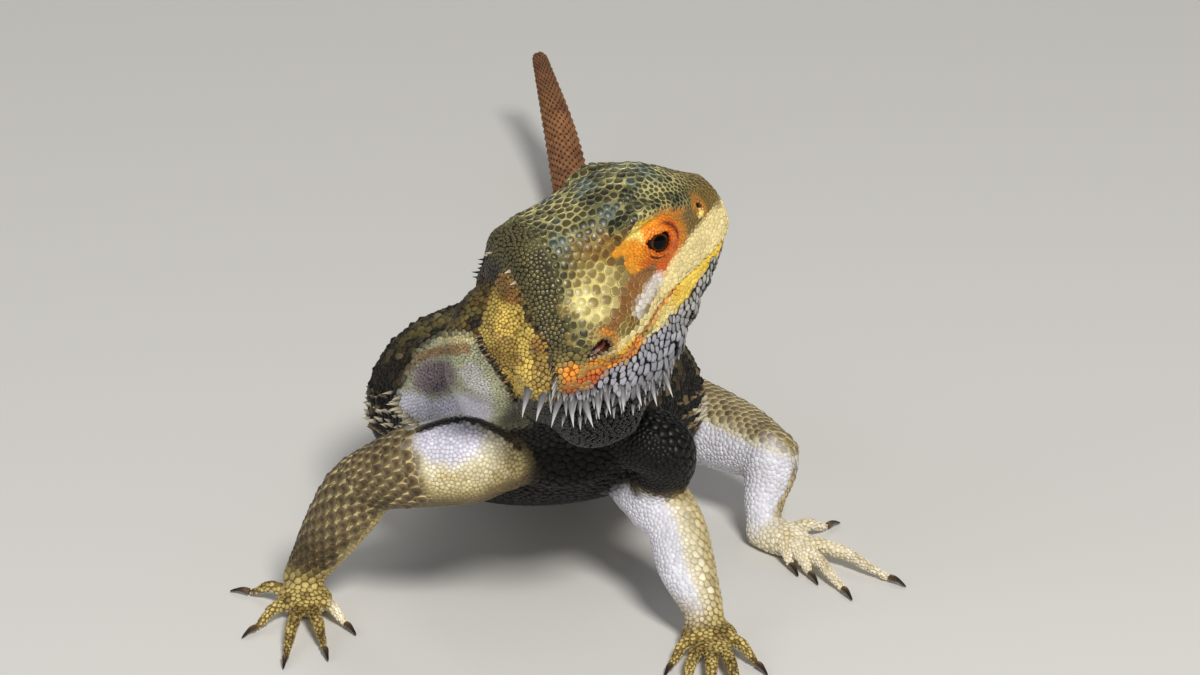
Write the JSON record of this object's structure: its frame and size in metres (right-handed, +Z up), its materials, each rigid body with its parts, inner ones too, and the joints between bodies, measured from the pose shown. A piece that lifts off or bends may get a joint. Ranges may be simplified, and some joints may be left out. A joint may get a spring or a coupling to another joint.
{
  "type": "bearded dragon model",
  "caption": "Still life-size bearded dragon standing on four feet with its chest raised, head turned to its left and pitched up, beard full, tail laid back.",
  "frame": {"origin": "middle of the bounding box on the floor that the feet and tail stand on", "axes": "+Z up, the animal faces -Y with its tail towards +Y, and its own left side is on +X"},
  "size_m": [0.1442, 0.368, 0.1067],
  "materials": {
    "head_skin": "olive grey scales edged in yellow green, orange round the eye",
    "beard_skin": "silver grey pointed scales over a black throat",
    "neck_skin": "fine golden ochre scales",
    "trunk_skin": "dark grey brown rough scales with pale spiny ones",
    "tail_skin": "keeled red brown scales",
    "arm_skin": "brown scales with cream edges above, white below, ochre hands",
    "leg_skin": "brown scales with cream edges above, white below",
    "eye": "wet, gold and orange iris",
    "ear": "dark red brown drum",
    "claw": "dark brown horn"
  },
  "bodies": {
    "root": {"claw_foot_L_1": "claw", "claw_foot_L_2": "claw", "claw_foot_L_3": "claw", "claw_foot_L_4": "claw", "claw_foot_L_5": "claw", "claw_foot_R_1": "claw", "claw_foot_R_2": "claw", "claw_foot_R_3": "claw", "claw_foot_R_4": "claw", "claw_foot_R_5": "claw", "claw_hand_L_1": "claw", "claw_hand_L_2": "claw", "claw_hand_L_3": "claw", "claw_hand_L_4": "claw", "claw_hand_L_5": "claw", "claw_hand_R_1": "claw", "claw_hand_R_2": "claw", "claw_hand_R_3": "claw", "claw_hand_R_4": "claw", "claw_hand_R_5": "claw", "ear_L": "ear", "ear_R": "ear", "eye_L": "eye", "eye_R": "eye", "foot_L": "leg_skin", "foot_R": "leg_skin", "forearm_L": "arm_skin", "forearm_R": "arm_skin", "hand_L": "arm_skin", "hand_R": "arm_skin", "head": "head_skin", "lower_jaw": "beard_skin", "neck": "neck_skin", "shin_L": "leg_skin", "shin_R": "leg_skin", "tail_base": "tail_skin", "tail_end": "tail_skin", "tail_mid": "tail_skin", "tail_tip": "tail_skin", "thigh_L": "leg_skin", "thigh_R": "leg_skin", "trunk": "trunk_skin", "upper_arm_L": "arm_skin", "upper_arm_R": "arm_skin"}
  },
  "joints": []
}
